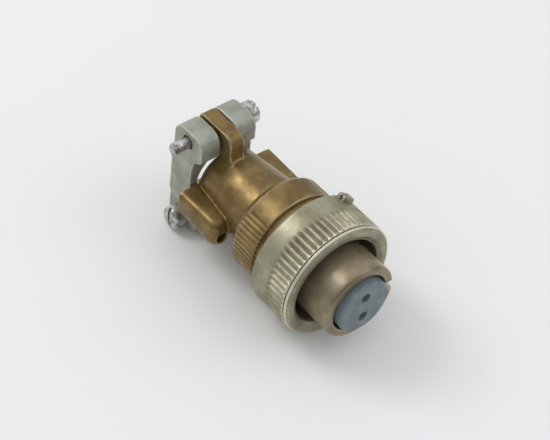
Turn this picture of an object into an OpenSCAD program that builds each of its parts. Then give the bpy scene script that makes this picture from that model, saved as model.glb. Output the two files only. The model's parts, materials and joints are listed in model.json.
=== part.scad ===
// Straight cable plug of a threaded circular connector, with a clamp for the cable.
// X is the mating axis: +X is the mating end, -X is the cable end. +Z is up.
// The origin is on the axis, in the plane where the flutes of the coupling nut end.

/* [Coupling nut] */
// Wall of the nut outside its mouth
nut_wall_t = 2; // [1.6:0.1:3.5]
// Distance from the origin back to the nut's rear face
nut_back = 9.8; // [9.2:0.1:12]
// Distance from the origin forward to the nut's front lip
nut_front = 0.8; // [0.5:0.1:2]
// Length of the flutes
nut_flute_l = 4.8; // [3:0.1:5.4]
// Number of flutes round the nut
nut_flutes = 60; // [36:1:80]
// Depth of a flute
nut_flute_d = 0.42; // [0.2:0.02:0.7]
// Room between the shell's shoulder and the nut's thread crests
thread_room = 0.22; // [0.18:0.01:0.5]
// Widening from the thread crests to the nut's open mouth
nut_mouth_flare = 1.33; // [1:0.01:1.7]
// Thickness of the nut's inward flange
nut_flange_t = 2; // [1.4:0.1:2.6]

/* [Plug shell] */
// Outer radius of the barrel
barrel_r = 7.95; // [7.7:0.05:8.1]
// Wall of the barrel
barrel_wall_t = 1.8; // [1.5:0.05:2.2]
// Distance from the origin forward to the barrel's rim
barrel_front = 6.9; // [5:0.1:9]
// Width of the keyway along the barrel
keyway_w = 2.3; // [1.5:0.1:3]
// Depth of the keyway
keyway_d = 1.9; // [0.8:0.1:2]
// Angle of the keyway from +Y towards +Z
keyway_angle = 3; // [0:1:359]
// Height above the barrel of the shoulder that pulls the plug in
shoulder_h = 0.8; // [0.65:0.05:1.2]
// Height above the barrel of the journal that the nut turns on
journal_h = 0.25; // [0.2:0.05:0.45]
// Step from the journal down to the thread for the endbell
rear_thread_step = 0.3; // [0.1:0.05:0.6]
// Distance from the origin back to the shell's rear end
shell_back = 16.5; // [15:0.1:18]

/* [Insert and contacts] */
// Room round the insert's front end inside the barrel
insert_room = 0.45; // [0.3:0.05:0.9]
// Distance from the origin forward to the insert's face
insert_front = 8.2; // [7:0.1:9]
// Distance between the two contacts
contact_pitch = 4.8; // [4:0.1:6]
// Radius of the holes in the insert's face
face_hole_r = 1.05; // [0.9:0.05:1.15]
// Radius of the bore that takes a pin contact
socket_bore_r = 0.8; // [0.75:0.01:0.88]
// Outer radius of a socket contact
contact_r = 1.08; // [1.04:0.01:1.09]
// Outer radius of the hood round a socket contact
hood_r = 1.4; // [1.3:0.05:1.6]

/* [Endbell] */
// Wall of the endbell's fluted ring
ring_wall_t = 2.5; // [2:0.1:3.5]
// Depth of a flute on the ring
ring_flute_d = 0.4; // [0.2:0.02:0.6]
// Number of flutes that a full ring would have
ring_flutes = 64; // [40:1:80]
// Half-angle of the smooth pads at the top and bottom of the ring
pad_angle = 44; // [20:1:60]
// Distance from the origin back to the ring's rear edge
ring_back = 17.4; // [16.5:0.1:19]
// Distance from the origin back to the endbell's rear face
endbell_back = 33.2; // [31:0.1:36]
// Wall of the endbell's body behind the ring
body_wall_t = 0.9; // [0.7:0.1:2]
// Radius of the endbell's body at the rear face
body_back_r = 6.4; // [5.9:0.1:6.5]
// Radius of the cable's way through the endbell
cable_r = 4.4; // [3:0.1:4.6]
// How far a side boss stands out from the body's front end
boss_reach = 3.2; // [2.6:0.1:5]
// Width of a side boss
boss_w = 5.3; // [4.8:0.1:6.5]
// Height of the boss's top above the axis
boss_top = 0.8; // [0:0.1:2]
// Depth of the boss's underside below the axis
boss_bottom = 5.4; // [5:0.1:6]
// Distance from the origin back to the boss's front end
boss_front = 21.5; // [20.5:0.1:25]
// Radius of the hole in a boss's front end
boss_hole_r = 1.2; // [0.6:0.1:1.6]
// Depth of that hole
boss_hole_l = 5; // [2:0.5:8]

/* [Cable clamp] */
// Distance from the endbell's rear face back to the clamp screws' axes
screw_behind = 2.9; // [2.8:0.1:5]
// Distance from the axis to each clamp screw's axis
screw_z = 9.5; // [9.4:0.1:11]
// Radius of the screw's thread
screw_r = 1.42; // [1.2:0.01:1.6]
// Length of a clamp screw under its head
screw_l = 17.5; // [16:0.5:22]
// Radius of a screw's head
head_r = 2.35; // [2:0.05:2.8]
// Height of a screw's head
head_h = 2.4; // [1.6:0.1:3]
// Thickness of a lock washer
washer_t = 0.7; // [0.4:0.1:1]
// Reach of the saddle's lugs in front of the screw
lug_front = 4.3; // [3.2:0.1:4.6]
// Reach of the saddle's lugs behind the screw
lug_back = 3.9; // [3.2:0.1:5]
// Reach of the saddle's lugs past the screw, away from the axis
lug_over = 2.7; // [2.6:0.1:4]
// Thickness of the saddle from its lug face to its outer face
saddle_t = 4.4; // [3.8:0.1:6]
// Gap between the arms and the near saddle's lugs
near_play = 0.8; // [0.2:0.1:2]
// Gap between the arms and the far saddle's lugs
far_play = 0.2; // [0.2:0.1:2]
// Radius of the saddle's hollow for the cable
saddle_hollow_r = 6.3; // [5.6:0.1:6.4]
// Arm's near side, as a distance from the axis
arm_near = 2.1; // [1.4:0.1:2.1]
// Arm's far side, as a distance from the axis
arm_far = 1.1; // [0.8:0.1:1.1]
// Reach of the arm past the screw, away from the axis
arm_over = 2.5; // [2.3:0.1:4]
// Reach of the arm behind the screw
arm_rear = 3.5; // [2.4:0.1:4.5]
// Reach of the arm in front of the endbell's rear face
arm_foot = 3.7; // [1.5:0.1:4.5]

/* [Hidden] */
$fn = 96;

// Clearance of a turning fit, of a pushed-in piece and of a screw in a plain hole
turn_gap = 0.05;
seat_gap = 0.02;
hole_gap = 0.2;
eps = 0.01;

// Radii worked out from the sizes above, from the barrel outwards and inwards
shoulder_r = barrel_r + shoulder_h;
journal_r = barrel_r + journal_h;
rear_thread_r = journal_r - rear_thread_step;
rear_bore_r = rear_thread_r - 0.9;
nut_bore_r = shoulder_r + thread_room;
nut_mouth_r = nut_bore_r + nut_mouth_flare;
nut_r = nut_mouth_r + nut_wall_t;
barrel_bore_r = barrel_r - barrel_wall_t;
insert_r = barrel_bore_r - insert_room;
insert_body_r = barrel_bore_r - seat_gap;
gasket_seat_r = barrel_r - 0.2;
circlip_seat_r = rear_thread_r - 0.45;
seal_wire_r = 0.34;
seal_groove_r = rear_thread_r - 2 * seal_wire_r;
ring_r = rear_thread_r + ring_wall_t;
body_front_r = rear_bore_r + body_wall_t;
boss_out = body_front_r + boss_reach;
boss_in = boss_out - boss_w;

// Places of the clamp, and the room between the body's rear end and the saddles' lugs
lug_room = 0.7;
screw_back = endbell_back + screw_behind;
near_gap = arm_near + near_play;
far_gap = arm_far + far_play;
arm_top = screw_z + arm_over;
arm_back = screw_back + arm_rear;
arm_front = endbell_back - arm_foot;

// Stations along X, worked out from the sizes above
flange_front = -nut_back + nut_flange_t;
washer_room = 0.6;
shoulder_back = flange_front + washer_room + 0.1;
shoulder_l = 1.5;
shoulder_front = shoulder_back + shoulder_l;
gasket_t = 1.1;
circlip_t = 0.6;
circlip_front = -nut_back - 0.12;
circlip_back = circlip_front - circlip_t;
endbell_front = circlip_back - 0.15;
seal_x = endbell_front - 1;
insert_step = 3;
insert_flange_front = -9;
insert_back = -11.1;
grommet_l = 7.1;
grommet_back = insert_back - grommet_l;
ferrule_l = 2.2;
ferrule_back = grommet_back - ferrule_l;
contact_front = insert_front - 1.7;
hood_l = 7.5;
contact_collar_front = contact_front - hood_l - 0.1;
contact_collar_back = contact_collar_front - 0.9;
contact_back = grommet_back + 1.5;
cup_l = 5;

// Draws a profile of [x, radius] points turned about the X axis
module turned(profile) {
    rotate([90, 0, 90]) rotate_extrude() polygon([for (p = profile) [p[1], p[0]]]);
}

// Extrudes an outline in the Y-Z plane from x0 to x1
module along_x(x0, x1) {
    translate([x0, 0, 0]) rotate([90, 0, 90]) linear_extrude(x1 - x0) children();
}

// Extrudes an outline in the X-Z plane from y0 to y1
module along_y(y0, y1) {
    translate([0, y1, 0]) rotate([90, 0, 0]) linear_extrude(y1 - y0) children();
}

// Draws a round bar along Y from y0 to y1
module bar_y(y0, y1, r) {
    along_y(y0, y1) circle(r);
}

// Outline of a ring with straight flutes, plain where a smooth pad is
function fluted(r, depth, count, pad = 0) = [
    for (i = [0 : count - 1], k = [0 : 3])
        let (
            step = 360 / count,
            a = 90 + (i + [-0.32, -0.12, 0.12, 0.32][k]) * step,
            off_top = abs(((a + 90) % 360) - 180),
            from_pad = min(off_top, 180 - off_top),
            low = (k == 1 || k == 2) && from_pad >= pad,
            rr = low ? r - depth : r
        )
        [rr * cos(a), rr * sin(a)]
];

// Profile points of an arc about [x, r], radius s, from angle a0 to a1
function arc(x, r, s, a0, a1, n = 8) = [
    for (i = [0 : n]) let (a = a0 + (a1 - a0) * i / n) [x + s * cos(a), r + s * sin(a)]
];

module coupling_nut() {
    band_edge = 0.3;
    flute_front = -0.5;
    flute_back = flute_front - nut_flute_l;
    wire_lug_angle = 38;
    color([0.66, 0.65, 0.55])
    difference() {
        union() {
            turned([
                [-nut_back, journal_r + turn_gap],
                [-nut_back, nut_r - 0.5],
                [-nut_back + 0.5, nut_r],
                [flute_back, nut_r],
                [flute_back + band_edge, nut_r - nut_flute_d - 0.1],
                [flute_front + 0.25, nut_r - nut_flute_d - 0.1],
                [flute_front + 0.35, nut_r - 0.1],
                [flute_front + 0.85, nut_r - 0.15],
                [flute_front + 0.9, nut_r - 0.4],
                [nut_front - 0.35, nut_r - 0.5],
                [nut_front, nut_r - 0.9],
                [nut_front, journal_r + turn_gap],
            ]);
            along_x(flute_back - 0.2, flute_front)
                polygon(fluted(nut_r - 0.03, nut_flute_d, nut_flutes));
            rotate([-wire_lug_angle, 0, 0]) wire_lug();
        }
        turned([
            [flange_front, 0],
            [flange_front, nut_bore_r + 0.5],
            [shoulder_front, nut_bore_r + 0.5],
            [shoulder_front + 0.5, nut_bore_r],
            [nut_front - (nut_mouth_r - nut_bore_r), nut_bore_r],
            [nut_front, nut_mouth_r],
            [nut_front + 1, nut_mouth_r],
            [nut_front + 1, 0],
        ]);
        rotate([-wire_lug_angle, 0, 0])
            translate([-nut_back + 1.7, 0, nut_r + 0.25]) bar_y(-3, 3, 0.45);
    }
}

// Small ear on the nut's smooth band, drilled for a safety wire
module wire_lug() {
    translate([-nut_back + 1.7, 0, 0])
        along_y(-1.5, 1.5)
        polygon([[-1.1, nut_r - 0.5], [-0.8, nut_r + 1], [0.8, nut_r + 1], [1.1, nut_r - 0.5]]);
}

module plug_shell() {
    color([0.56, 0.5, 0.4])
    difference() {
        turned([
            [barrel_front, barrel_bore_r + 0.25],
            [barrel_front, barrel_r - 0.3],
            [barrel_front - 0.3, barrel_r],
            [shoulder_front + gasket_t, barrel_r],
            [shoulder_front + gasket_t, gasket_seat_r],
            [shoulder_front, gasket_seat_r],
            [shoulder_front, shoulder_r],
            [shoulder_back, shoulder_r],
            [shoulder_back, journal_r],
            [circlip_front, journal_r],
            [circlip_front, circlip_seat_r],
            [circlip_back, circlip_seat_r],
            [circlip_back, rear_thread_r],
            [seal_x + 0.45, rear_thread_r],
            [seal_x + 0.45, seal_groove_r],
            [seal_x - 0.45, seal_groove_r],
            [seal_x - 0.45, rear_thread_r],
            [-shell_back + 0.4, rear_thread_r],
            [-shell_back, rear_thread_r - 0.4],
            [-shell_back, rear_bore_r],
            [insert_flange_front, rear_bore_r],
            [insert_flange_front, barrel_bore_r],
            [barrel_front - 0.25, barrel_bore_r],
        ]);
        rotate([keyway_angle, 0, 0])
            translate([shoulder_front + 1.6, barrel_r - keyway_d, -keyway_w / 2])
            cube([barrel_front - shoulder_front, keyway_d + 1, keyway_w]);
    }
}

// Spring washer with three waves, between the shell's shoulder and the nut's flange
module wave_washer() {
    steps = 60;
    waves = 3;
    sheet_t = 0.2;
    inner = journal_r + turn_gap;
    outer = shoulder_r - 0.02;
    lift = (washer_room - sheet_t) / 2 - 0.02;
    middle = flange_front + washer_room / 2 + 0.05;
    ring = [for (i = [0 : steps - 1])
        let (a = 360 * i / steps, x = middle + lift * sin(waves * a))
        for (c = [[inner, -1], [outer, -1], [outer, 1], [inner, 1]])
            [x + c[1] * sheet_t / 2, c[0] * cos(a), c[0] * sin(a)]];
    faces = [for (i = [0 : steps - 1], k = [0 : 3])
        let (j = (i + 1) % steps, m = (k + 1) % 4)
        [4 * i + k, 4 * j + k, 4 * j + m, 4 * i + m]];
    color([0.7, 0.7, 0.68]) polyhedron(ring, faces);
}

// Split ring in the shell's groove, which keeps the nut from sliding off rearwards
module nut_retaining_ring() {
    color([0.6, 0.6, 0.58])
    difference() {
        turned([
            [circlip_front - seat_gap, circlip_seat_r + seat_gap],
            [circlip_front - seat_gap, shoulder_r],
            [circlip_back + seat_gap, shoulder_r],
            [circlip_back + seat_gap, circlip_seat_r + seat_gap],
        ]);
        translate([circlip_back, -1, -nut_r]) cube([circlip_t, 2, nut_r]);
    }
}

module mating_gasket() {
    color([0.16, 0.16, 0.16])
    turned([
        [shoulder_front, gasket_seat_r],
        [shoulder_front, shoulder_r],
        [shoulder_front + gasket_t, shoulder_r],
        [shoulder_front + gasket_t, gasket_seat_r],
    ]);
}

// Cast housing: threaded ring, tapered body, two side bosses and two clamp arms
module endbell() {
    core_r = ring_r - ring_flute_d - 0.05;
    color([0.58, 0.48, 0.29])
    difference() {
        union() {
            turned(concat(
                [[endbell_front, 0], [endbell_front, ring_r - 1.2], [endbell_front - 0.3, ring_r - 0.8],
                 [endbell_front - 1, ring_r - 0.8], [endbell_front - 1.1, core_r]],
                [[-ring_back, core_r]],
                arc(-ring_back, core_r - 1.3, 1.3, 90, 180),
                arc(-ring_back - 1.3 - 0.8, body_front_r + 0.8, 0.8, 0, -90),
                [[-endbell_back + 0.5, body_back_r + 0.05], [-endbell_back, body_back_r - 0.4],
                 [-endbell_back, 0]]
            ));
            along_x(-ring_back, endbell_front - 1.2)
                polygon(fluted(ring_r, ring_flute_d, ring_flutes, pad_angle));
            for (side = [0, 1]) mirror([0, side, 0]) side_boss();
            for (end = [0, 1]) mirror([0, 0, end]) clamp_arm();
        }
        turned([
            [endbell_front + 1, 0],
            [endbell_front + 1, rear_thread_r + 0.1],
            [seal_x + 0.5, rear_thread_r + 0.1],
            [seal_x + 0.5, rear_thread_r + seat_gap],
            [-shell_back - 0.1, rear_thread_r + seat_gap],
            [-shell_back - 0.1, rear_bore_r + 0.05],
            [ferrule_back, rear_bore_r + 0.05],
            [ferrule_back - (rear_bore_r - cable_r) * 1.2, cable_r],
            [-endbell_back + 0.4, cable_r],
            [-endbell_back, cable_r + 0.4],
            [-endbell_back - 1, cable_r + 0.4],
            [-endbell_back - 1, 0],
        ]);
        for (end = [-1, 1])
            translate([-screw_back, 0, end * screw_z]) bar_y(-arm_near - 1, arm_far + 1, screw_r + hole_gap);
        for (side = [-1, 1])
            translate([-boss_front - boss_hole_l, side * ((boss_out + boss_in) / 2 + 0.5), -boss_bottom + 2.5])
                rotate([0, 90, 0]) cylinder(h = boss_hole_l + 3, r = boss_hole_r);
    }
}

// Side boss at +Y: a rounded bar along the body with a flat top, free and round at its front end
module side_boss() {
    edge = 1.1;
    nose = 1.6;
    belly = 2.3;
    flare = 1.3;
    slab = 0.1;
    top_z = boss_top - edge;
    low_z = -boss_bottom + belly;
    low_y = (boss_in + boss_out) / 2 + 0.2;
    rear_x = -endbell_back + eps;
    hull() {
        for (y = [boss_in + edge, boss_out - edge])
            translate([rear_x, y, top_z]) rotate([0, 90, 0]) cylinder(h = slab, r = edge, $fn = 32);
        translate([rear_x, low_y, low_z]) rotate([0, 90, 0]) cylinder(h = slab, r = belly, $fn = 32);
        for (y = [boss_in + flare + nose, boss_out - nose])
            translate([-boss_front - nose - 0.5, y, boss_top - nose]) sphere(r = nose, $fn = 32);
        translate([-boss_front - belly, low_y + 0.3, low_z]) sphere(r = belly, $fn = 32);
    }
    hull() {
        for (y = [body_back_r - 1.6, boss_in + 1.4], z = [top_z, low_z - 0.5])
            translate([rear_x, y, z]) rotate([0, 90, 0]) cylinder(h = slab, r = edge, $fn = 32);
        for (y = [body_front_r - 2, boss_in + flare], z = [top_z - 0.6, low_z])
            translate([-boss_front - 5, y, z]) sphere(r = edge, $fn = 32);
    }
}

// Upper arm: a plate over the cable's way, with a foot that flares into the body
module clamp_arm() {
    front_corner = 2.2;
    rear_corner = 1.4;
    foot_flare = 1.4;
    foot_sink = 1;
    foot_z = body_back_r - 0.6;
    under_z = foot_z + 0.2;
    along_y(-arm_near, arm_far)
        polygon(concat(
            [[-arm_back, under_z + foot_flare / 2]],
            [for (a = [180 : -15 : 90])
                [-arm_back + rear_corner * (1 + cos(a)), arm_top - rear_corner * (1 - sin(a))]],
            [for (a = [90 : -15 : 0])
                [-arm_front - front_corner * (1 - cos(a)), arm_top - front_corner * (1 - sin(a))]],
            [for (a = [180 : 15 : 270])
                [-arm_front + foot_flare * (1 + cos(a)), foot_z + foot_flare * (1.5 + sin(a))]],
            [[-arm_front + foot_flare, foot_z - foot_sink], [-endbell_back + hole_gap, foot_z - foot_sink],
             [-endbell_back - hole_gap, under_z], [-arm_back + foot_flare / 2, under_z]]
        ));
}

module endbell_seal() {
    color([0.15, 0.15, 0.15])
    translate([seal_x, 0, 0]) rotate([90, 0, 90])
        rotate_extrude() translate([seal_groove_r + seal_wire_r + eps, 0]) circle(seal_wire_r);
}

// Moulded insert with a stepped hole for each contact
module socket_insert() {
    color([0.42, 0.46, 0.46])
    difference() {
        turned([
            [insert_front, 0],
            [insert_front, insert_r - 0.25],
            [insert_front - 0.25, insert_r],
            [insert_step, insert_r],
            [insert_step, insert_body_r],
            [insert_flange_front - seat_gap, insert_body_r],
            [insert_flange_front - seat_gap, rear_bore_r - seat_gap],
            [insert_back, rear_bore_r - seat_gap],
            [insert_back, 0],
        ]);
        for (side = [-1, 1]) translate([0, 0, side * contact_pitch / 2]) contact_cavity();
    }
}

module contact_cavity() {
    turned([
        [insert_front + 1, 0],
        [insert_front + 1, face_hole_r + 0.15],
        [insert_front, face_hole_r + 0.15],
        [insert_front - 0.15, face_hole_r],
        [contact_front + seat_gap, face_hole_r],
        [contact_front + seat_gap, hood_r + seat_gap],
        [contact_collar_front + seat_gap, hood_r + seat_gap],
        [contact_collar_front + seat_gap, hood_r + 0.35],
        [contact_collar_back - seat_gap, hood_r + 0.35],
        [contact_collar_back - seat_gap, contact_r + seat_gap],
        [insert_back - 1, contact_r + seat_gap],
        [insert_back - 1, 0],
    ]);
}

// Socket contact: split spring end, locating collar and solder cup
module socket_contact() {
    slot_w = 0.25;
    wall_r = contact_r - 0.05;
    color([0.83, 0.68, 0.35])
    difference() {
        turned([
            [contact_front, socket_bore_r + 0.15],
            [contact_front, wall_r],
            [contact_collar_front, wall_r],
            [contact_collar_front, hood_r + 0.3],
            [contact_collar_back, hood_r + 0.3],
            [contact_collar_back, contact_r],
            [contact_back, contact_r],
            [contact_back, contact_r - 0.25],
            [contact_back + cup_l - 0.6, contact_r - 0.25],
            [contact_back + cup_l, 0],
            [contact_front - hood_l + 0.4, 0],
            [contact_front - hood_l + 0.8, socket_bore_r],
            [contact_front - 0.15, socket_bore_r],
        ]);
        translate([contact_front - hood_l + 1.5, -slot_w / 2, -contact_r - 1])
            cube([hood_l, slot_w, 2 * contact_r + 2]);
        translate([contact_back - 1, -contact_r - 1, 0.35])
            cube([cup_l - 1, 2 * contact_r + 2, contact_r + 1]);
    }
}

// Thin steel hood that guards the contact's spring end
module contact_hood() {
    color([0.75, 0.75, 0.73])
    turned([
        [contact_front, contact_r],
        [contact_front, hood_r],
        [contact_front - hood_l, hood_r],
        [contact_front - hood_l, contact_r],
    ]);
}

module rear_grommet() {
    color([0.3, 0.12, 0.1])
    difference() {
        turned([
            [insert_back - seat_gap, 0],
            [insert_back - seat_gap, rear_bore_r - seat_gap],
            [grommet_back, rear_bore_r - seat_gap],
            [grommet_back, 0],
        ]);
        for (side = [-1, 1])
            translate([grommet_back - 1, 0, side * contact_pitch / 2])
                rotate([0, 90, 0]) cylinder(h = grommet_l + 2, r = contact_r + seat_gap);
    }
}

// Ring that presses the grommet forwards when the endbell is screwed on
module grommet_ferrule() {
    color([0.72, 0.72, 0.7])
    turned([
        [grommet_back - seat_gap, rear_bore_r - 1.6],
        [grommet_back - seat_gap, rear_bore_r - seat_gap],
        [ferrule_back + seat_gap, rear_bore_r - seat_gap],
        [ferrule_back + seat_gap, rear_bore_r - 1],
    ]);
}

// Block of a lug round the upper screw, from y0 to y1, squarish with two round outer corners
module lug(y0, y1) {
    corner = 2.6;
    rear_x = -screw_back - lug_back;
    front_x = -screw_back + lug_front;
    inner_z = body_back_r + lug_room;
    top_z = screw_z + lug_over;
    for (x = [rear_x + corner, front_x - corner])
        translate([x, 0, top_z - corner]) bar_y(y0, y1, corner);
    along_y(y0, y1)
        polygon([[rear_x, inner_z], [rear_x, top_z - corner], [rear_x + corner, top_z],
                 [front_x - corner, top_z], [front_x, top_z - corner], [front_x, inner_z]]);
}

// Clamp saddle on the +Y side: lugs for two screws, one plain hole above, one tapped below
module saddle(gap) {
    web_front = endbell_back + 0.35;
    waist = 0.5;
    web_back = screw_back + lug_back - waist;
    lug_inner_z = body_back_r + lug_room;
    outer = gap + saddle_t;
    top_z = screw_z + lug_over;
    bulge = 0.7;
    bulge_run = 2.6;
    web_t = 1.7;
    hollow_y = outer + bulge - web_t - saddle_hollow_r;
    difference() {
        intersection() {
            union() {
                for (end = [0, 1]) mirror([0, 0, end]) lug(gap, outer + bulge);
                along_y(gap, outer + bulge)
                    polygon([
                        [-web_back - waist, lug_inner_z + eps],
                        [-screw_back + lug_front, lug_inner_z + eps],
                        [-web_front, lug_inner_z - 1],
                        [-web_front, -lug_inner_z + 1],
                        [-screw_back + lug_front, -lug_inner_z - eps],
                        [-web_back - waist, -lug_inner_z - eps],
                        [-web_back, -lug_inner_z + 1.5],
                        [-web_back, lug_inner_z - 1.5],
                    ]);
            }
            along_x(-screw_back - lug_back - 1, -screw_back + lug_front + 1)
                polygon([
                    [gap, top_z + 1],
                    [outer, top_z + 1],
                    [outer, lug_inner_z],
                    [outer + bulge, lug_inner_z - bulge_run],
                    [outer + bulge, -lug_inner_z + bulge_run],
                    [outer, -lug_inner_z],
                    [outer, -top_z - 1],
                    [gap, -top_z - 1],
                ]);
        }
        translate([-web_back - 1, hollow_y, 0])
            rotate([0, 90, 0]) cylinder(h = lug_back + lug_front + 2, r = saddle_hollow_r);
        translate([-screw_back, 0, screw_z]) bar_y(gap - 1, outer + 1, screw_r + 0.12);
        translate([-screw_back, 0, -screw_z]) bar_y(gap - 1, outer + 1, screw_r + turn_gap);
    }
}

module far_saddle() {
    color([0.65, 0.65, 0.58]) saddle(far_gap);
}

module near_saddle() {
    color([0.65, 0.65, 0.58]) rotate([180, 0, 0]) saddle(near_gap);
}

// Slotted clamp screw along Y with its head at +Y, seated over a lock washer
module clamp_screw(gap) {
    seat = gap + saddle_t + washer_t + 2 * seat_gap;
    tip = seat - screw_l;
    color([0.7, 0.7, 0.68])
    translate([-screw_back, 0, 0])
    difference() {
        rotate([-90, 0, 0]) rotate_extrude() polygon(concat(
            [[0, tip], [screw_r - 0.45, tip], [screw_r, tip + 0.5], [screw_r, seat],
             [head_r - 0.1, seat], [head_r, seat + 0.1], [head_r, seat + head_h - 0.6]],
            [for (a = [15 : 15 : 90])
                [head_r - 0.7 + 0.7 * cos(a), seat + head_h - 0.6 + 0.5 * sin(a)]],
            [[0, seat + head_h]]
        ));
        translate([-head_r - 1, seat + head_h - 1, -0.32]) cube([2 * head_r + 2, 2, 0.64]);
    }
}

module lock_washer(gap) {
    seat = gap + saddle_t + seat_gap;
    color([0.5, 0.5, 0.5])
    translate([-screw_back, seat, 0]) rotate([-90, 0, 0]) rotate([0, 0, 120])
        rotate_extrude(angle = 340) translate([screw_r + 0.1, 0]) square([head_r - screw_r - 0.25, washer_t]);
}

module upper_clamp_screw() {
    translate([0, 0, screw_z]) clamp_screw(far_gap);
}

module lower_clamp_screw() {
    rotate([180, 0, 0]) translate([0, 0, screw_z]) clamp_screw(near_gap);
}

module upper_lock_washer() {
    translate([0, 0, screw_z]) lock_washer(far_gap);
}

module lower_lock_washer() {
    rotate([180, 0, 0]) translate([0, 0, screw_z]) lock_washer(near_gap);
}

module upper_contact() {
    translate([0, 0, contact_pitch / 2]) socket_contact();
}

module lower_contact() {
    translate([0, 0, -contact_pitch / 2]) socket_contact();
}

module upper_hood() {
    translate([0, 0, contact_pitch / 2]) contact_hood();
}

module lower_hood() {
    translate([0, 0, -contact_pitch / 2]) contact_hood();
}

plug_shell();
coupling_nut();
wave_washer();
nut_retaining_ring();
mating_gasket();
endbell();
endbell_seal();
socket_insert();
upper_contact();
lower_contact();
upper_hood();
lower_hood();
rear_grommet();
grommet_ferrule();
near_saddle();
far_saddle();
upper_clamp_screw();
lower_clamp_screw();
upper_lock_washer();
lower_lock_washer();
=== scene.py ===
"""Looks of a straight circular cable plug: its finishes, flutes, threads and castings, round the frame."""

import json
import logging
import math
from dataclasses import dataclass
from enum import Enum
from typing import Callable, Iterable, Optional, Sequence, Union

import bmesh
import bpy
import numpy as np
from mathutils import Matrix, Vector

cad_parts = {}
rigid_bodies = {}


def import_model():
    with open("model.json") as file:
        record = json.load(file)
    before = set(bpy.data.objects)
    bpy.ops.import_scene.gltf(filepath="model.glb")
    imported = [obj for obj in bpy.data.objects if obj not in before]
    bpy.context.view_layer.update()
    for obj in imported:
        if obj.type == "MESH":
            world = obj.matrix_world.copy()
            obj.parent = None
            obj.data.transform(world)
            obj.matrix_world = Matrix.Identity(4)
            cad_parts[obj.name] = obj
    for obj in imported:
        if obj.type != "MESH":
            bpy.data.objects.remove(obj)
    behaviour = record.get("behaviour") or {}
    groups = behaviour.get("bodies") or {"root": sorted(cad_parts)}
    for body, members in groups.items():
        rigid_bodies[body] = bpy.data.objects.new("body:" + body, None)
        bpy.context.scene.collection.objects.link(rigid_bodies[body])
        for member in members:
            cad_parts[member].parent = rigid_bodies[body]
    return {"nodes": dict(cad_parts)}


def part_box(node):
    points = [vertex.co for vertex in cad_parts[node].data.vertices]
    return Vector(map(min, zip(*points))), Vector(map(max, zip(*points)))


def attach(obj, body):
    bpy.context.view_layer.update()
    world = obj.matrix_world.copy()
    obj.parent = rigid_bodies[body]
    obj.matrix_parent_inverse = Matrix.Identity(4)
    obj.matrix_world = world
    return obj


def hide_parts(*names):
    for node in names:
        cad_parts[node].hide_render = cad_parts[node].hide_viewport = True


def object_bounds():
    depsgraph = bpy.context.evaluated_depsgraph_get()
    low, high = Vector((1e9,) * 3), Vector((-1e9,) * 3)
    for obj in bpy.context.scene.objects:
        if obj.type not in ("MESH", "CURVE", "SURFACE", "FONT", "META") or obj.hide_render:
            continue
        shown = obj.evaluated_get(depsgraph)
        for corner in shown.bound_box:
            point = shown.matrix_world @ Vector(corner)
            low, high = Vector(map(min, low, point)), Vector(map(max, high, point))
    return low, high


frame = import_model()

LOG = logging.getLogger("plug")
MM = 0.001
CAD_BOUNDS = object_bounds()
WEAR_MARK = "wear"

Point = tuple[float, float]
Corner = tuple[float, float, float]
Colour = tuple[float, float, float]


def srgb(red: int, green: int, blue: int) -> Colour:
    """Turns a colour of three bytes into the linear values that a shader takes.

    Args:
        red: The red byte.
        green: The green byte.
        blue: The blue byte.

    Returns:
        The colour's linear values.
    """
    def one(byte: int) -> float:
        """Turns one byte into its linear value."""
        share = byte / 255
        return share / 12.92 if share <= 0.04045 else ((share + 0.055) / 1.055) ** 2.4
    return one(red), one(green), one(blue)


class Body(Enum):
    """The rigid bodies of the frame that pieces ride on."""

    SHELL = "shell"
    NUT = "nut"
    NEAR = "near_clamp"
    FAR = "far_clamp"
    UPPER_SCREW = "upper_screw"
    LOWER_SCREW = "lower_screw"


# ---------------------------------------------------------------- shader maths


class Sock:
    """A shader output that takes part in Python arithmetic, each operation adding one Math node."""

    def __init__(self, sheet: "Sheet", link: bpy.types.NodeSocket) -> None:
        """Wraps one output socket of a sheet."""
        self.sheet = sheet
        self.link = link

    def _do(self, operation: str, first: object, second: object) -> "Sock":
        """Adds a Math node on two operands, each a Sock or a number."""
        return self.sheet.math(operation, first, second)

    def __add__(self, other: object) -> "Sock":
        """Returns self + other."""
        return self._do("ADD", self, other)

    def __radd__(self, other: object) -> "Sock":
        """Returns other + self."""
        return self._do("ADD", other, self)

    def __sub__(self, other: object) -> "Sock":
        """Returns self - other."""
        return self._do("SUBTRACT", self, other)

    def __rsub__(self, other: object) -> "Sock":
        """Returns other - self."""
        return self._do("SUBTRACT", other, self)

    def __mul__(self, other: object) -> "Sock":
        """Returns self * other."""
        return self._do("MULTIPLY", self, other)

    def __rmul__(self, other: object) -> "Sock":
        """Returns other * self."""
        return self._do("MULTIPLY", other, self)

    def within(self, low: float, high: float) -> "Sock":
        """Returns 0 below low and 1 above high, with a smooth step between."""
        return self.sheet.output("ShaderNodeMapRange", {"interpolation_type": "SMOOTHSTEP"},
                                 {"Value": self, "From Min": low, "From Max": high})


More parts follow.
